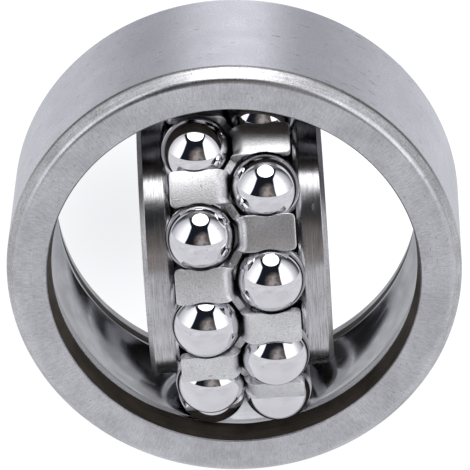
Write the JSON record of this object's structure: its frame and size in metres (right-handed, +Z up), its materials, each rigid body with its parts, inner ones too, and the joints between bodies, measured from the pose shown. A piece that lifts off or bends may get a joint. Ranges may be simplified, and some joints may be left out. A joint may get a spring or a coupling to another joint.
{
  "type": "self-aligning ball bearing",
  "caption": "Double-row self-aligning ball bearing with pressed steel cage, its inner ring, cage and balls swivelled a quarter turn out of the outer ring's plane.",
  "frame": {"origin": "centre of the spherical raceway, which is also the centre of the outer ring, the inner ring and the cage", "axes": "+Y along the outer ring's axis, away from the viewer; +Z up, the ring stands on its rim; +X to the viewer's right, and the swivelled inner ring's axis lies near it"},
  "size_m": [0.047, 0.0392, 0.047],
  "materials": {
    "ring_steel": "Ground hardened bearing steel, fine lathe lines on the rim and faces, polished raceways",
    "cage_steel": "Pressed sheet steel, satin, lightly tumbled edges",
    "ball_steel": "Lapped mirror-bright chromium steel balls"
  },
  "bodies": {
    "outer_ring": {"outer_ring": "ring_steel"},
    "cage": {"cage": "cage_steel"},
    "inner_ring": {"inner_ring": "ring_steel"},
    "ball_left_01": {"ball_left_01": "ball_steel"},
    "ball_left_02": {"ball_left_02": "ball_steel"},
    "ball_left_03": {"ball_left_03": "ball_steel"},
    "ball_left_04": {"ball_left_04": "ball_steel"},
    "ball_left_05": {"ball_left_05": "ball_steel"},
    "ball_left_06": {"ball_left_06": "ball_steel"},
    "ball_left_07": {"ball_left_07": "ball_steel"},
    "ball_left_08": {"ball_left_08": "ball_steel"},
    "ball_left_09": {"ball_left_09": "ball_steel"},
    "ball_left_10": {"ball_left_10": "ball_steel"},
    "ball_left_11": {"ball_left_11": "ball_steel"},
    "ball_right_01": {"ball_right_01": "ball_steel"},
    "ball_right_02": {"ball_right_02": "ball_steel"},
    "ball_right_03": {"ball_right_03": "ball_steel"},
    "ball_right_04": {"ball_right_04": "ball_steel"},
    "ball_right_05": {"ball_right_05": "ball_steel"},
    "ball_right_06": {"ball_right_06": "ball_steel"},
    "ball_right_07": {"ball_right_07": "ball_steel"},
    "ball_right_08": {"ball_right_08": "ball_steel"},
    "ball_right_09": {"ball_right_09": "ball_steel"},
    "ball_right_10": {"ball_right_10": "ball_steel"},
    "ball_right_11": {"ball_right_11": "ball_steel"}
  },
  "joints": [
    {"name": "swivel", "type": "hinge", "parent": "outer_ring", "child": "cage", "pos_m": [0, 0, 0], "axis": [-0.0638, 0, 0.998], "continuous": true},
    {"name": "inner_ring_spin", "type": "hinge", "parent": "cage", "child": "inner_ring", "pos_m": [0, 0, 0], "axis": [0.9973, 0.0375, 0.0638], "continuous": true},
    {"name": "ball_left_01_spin", "type": "hinge", "parent": "cage", "child": "ball_left_01", "pos_m": [-0.00338, -0.0143, 0.00721], "axis": [0.9756, -0.15, 0.1603], "continuous": true},
    {"name": "ball_left_02_spin", "type": "hinge", "parent": "cage", "child": "ball_left_02", "pos_m": [-0.00275, -0.01605, -0.00161], "axis": [0.9839, -0.1731, 0.0441], "continuous": true},
    {"name": "ball_left_03_spin", "type": "hinge", "parent": "cage", "child": "ball_left_03", "pos_m": [-0.00234, -0.01275, -0.00999], "axis": [0.9893, -0.1297, -0.0663], "continuous": true},
    {"name": "ball_left_04_spin", "type": "hinge", "parent": "cage", "child": "ball_left_04", "pos_m": [-0.00228, -0.00545, -0.01527], "axis": [0.9902, -0.0334, -0.1359], "continuous": true},
    {"name": "ball_left_05_spin", "type": "hinge", "parent": "cage", "child": "ball_left_05", "pos_m": [-0.00259, 0.00355, -0.01577], "axis": [0.9861, 0.0852, -0.1425], "continuous": true},
    {"name": "ball_left_06_spin", "type": "hinge", "parent": "cage", "child": "ball_left_06", "pos_m": [-0.00316, 0.01138, -0.01133], "axis": [0.9785, 0.1883, -0.084], "continuous": true},
    {"name": "ball_left_07_spin", "type": "hinge", "parent": "cage", "child": "ball_left_07", "pos_m": [-0.00383, 0.01555, -0.00337], "axis": [0.9697, 0.2433, 0.0209], "continuous": true},
    {"name": "ball_left_08_spin", "type": "hinge", "parent": "cage", "child": "ball_left_08", "pos_m": [-0.00437, 0.01475, 0.00559], "axis": [0.9626, 0.2327, 0.139], "continuous": true},
    {"name": "ball_left_09_spin", "type": "hinge", "parent": "cage", "child": "ball_left_09", "pos_m": [-0.00462, 0.00922, 0.01271], "axis": [0.9593, 0.1598, 0.2327], "continuous": true},
    {"name": "ball_left_10_spin", "type": "hinge", "parent": "cage", "child": "ball_left_10", "pos_m": [-0.00449, 0.00072, 0.01572], "axis": [0.961, 0.0479, 0.2724], "continuous": true},
    {"name": "ball_left_11_spin", "type": "hinge", "parent": "cage", "child": "ball_left_11", "pos_m": [-0.00403, -0.00805, 0.01367], "axis": [0.9671, -0.0676, 0.2454], "continuous": true},
    {"name": "ball_right_01_spin", "type": "hinge", "parent": "cage", "child": "ball_right_01", "pos_m": [0.00383, -0.01555, 0.00337], "axis": [0.9697, 0.2433, 0.0209], "continuous": true},
    {"name": "ball_right_02_spin", "type": "hinge", "parent": "cage", "child": "ball_right_02", "pos_m": [0.00437, -0.01475, -0.00559], "axis": [0.9626, 0.2327, 0.139], "continuous": true},
    {"name": "ball_right_03_spin", "type": "hinge", "parent": "cage", "child": "ball_right_03", "pos_m": [0.00462, -0.00922, -0.01271], "axis": [0.9593, 0.1598, 0.2327], "continuous": true},
    {"name": "ball_right_04_spin", "type": "hinge", "parent": "cage", "child": "ball_right_04", "pos_m": [0.00449, -0.00072, -0.01572], "axis": [0.961, 0.0479, 0.2724], "continuous": true},
    {"name": "ball_right_05_spin", "type": "hinge", "parent": "cage", "child": "ball_right_05", "pos_m": [0.00403, 0.00805, -0.01367], "axis": [0.9671, -0.0676, 0.2454], "continuous": true},
    {"name": "ball_right_06_spin", "type": "hinge", "parent": "cage", "child": "ball_right_06", "pos_m": [0.00338, 0.0143, -0.00721], "axis": [0.9756, -0.15, 0.1603], "continuous": true},
    {"name": "ball_right_07_spin", "type": "hinge", "parent": "cage", "child": "ball_right_07", "pos_m": [0.00275, 0.01605, 0.00161], "axis": [0.9839, -0.1731, 0.0441], "continuous": true},
    {"name": "ball_right_08_spin", "type": "hinge", "parent": "cage", "child": "ball_right_08", "pos_m": [0.00234, 0.01275, 0.00999], "axis": [0.9893, -0.1297, -0.0663], "continuous": true},
    {"name": "ball_right_09_spin", "type": "hinge", "parent": "cage", "child": "ball_right_09", "pos_m": [0.00228, 0.00545, 0.01527], "axis": [0.9902, -0.0334, -0.1359], "continuous": true},
    {"name": "ball_right_10_spin", "type": "hinge", "parent": "cage", "child": "ball_right_10", "pos_m": [0.00259, -0.00355, 0.01577], "axis": [0.9861, 0.0852, -0.1425], "continuous": true},
    {"name": "ball_right_11_spin", "type": "hinge", "parent": "cage", "child": "ball_right_11", "pos_m": [0.00316, -0.01138, 0.01133], "axis": [0.9785, 0.1883, -0.084], "continuous": true}
  ],
  "couplings": [
    {"joint": "ball_left_01_spin", "follows": "inner_ring_spin", "ratio": -3.4881},
    {"joint": "ball_left_02_spin", "follows": "inner_ring_spin", "ratio": -3.4881},
    {"joint": "ball_left_03_spin", "follows": "inner_ring_spin", "ratio": -3.4881},
    {"joint": "ball_left_04_spin", "follows": "inner_ring_spin", "ratio": -3.4881},
    {"joint": "ball_left_05_spin", "follows": "inner_ring_spin", "ratio": -3.4881},
    {"joint": "ball_left_06_spin", "follows": "inner_ring_spin", "ratio": -3.4881},
    {"joint": "ball_left_07_spin", "follows": "inner_ring_spin", "ratio": -3.4881},
    {"joint": "ball_left_08_spin", "follows": "inner_ring_spin", "ratio": -3.4881},
    {"joint": "ball_left_09_spin", "follows": "inner_ring_spin", "ratio": -3.4881},
    {"joint": "ball_left_10_spin", "follows": "inner_ring_spin", "ratio": -3.4881},
    {"joint": "ball_left_11_spin", "follows": "inner_ring_spin", "ratio": -3.4881},
    {"joint": "ball_right_01_spin", "follows": "inner_ring_spin", "ratio": -3.4881},
    {"joint": "ball_right_02_spin", "follows": "inner_ring_spin", "ratio": -3.4881},
    {"joint": "ball_right_03_spin", "follows": "inner_ring_spin", "ratio": -3.4881},
    {"joint": "ball_right_04_spin", "follows": "inner_ring_spin", "ratio": -3.4881},
    {"joint": "ball_right_05_spin", "follows": "inner_ring_spin", "ratio": -3.4881},
    {"joint": "ball_right_06_spin", "follows": "inner_ring_spin", "ratio": -3.4881},
    {"joint": "ball_right_07_spin", "follows": "inner_ring_spin", "ratio": -3.4881},
    {"joint": "ball_right_08_spin", "follows": "inner_ring_spin", "ratio": -3.4881},
    {"joint": "ball_right_09_spin", "follows": "inner_ring_spin", "ratio": -3.4881},
    {"joint": "ball_right_10_spin", "follows": "inner_ring_spin", "ratio": -3.4881},
    {"joint": "ball_right_11_spin", "follows": "inner_ring_spin", "ratio": -3.4881}
  ]
}
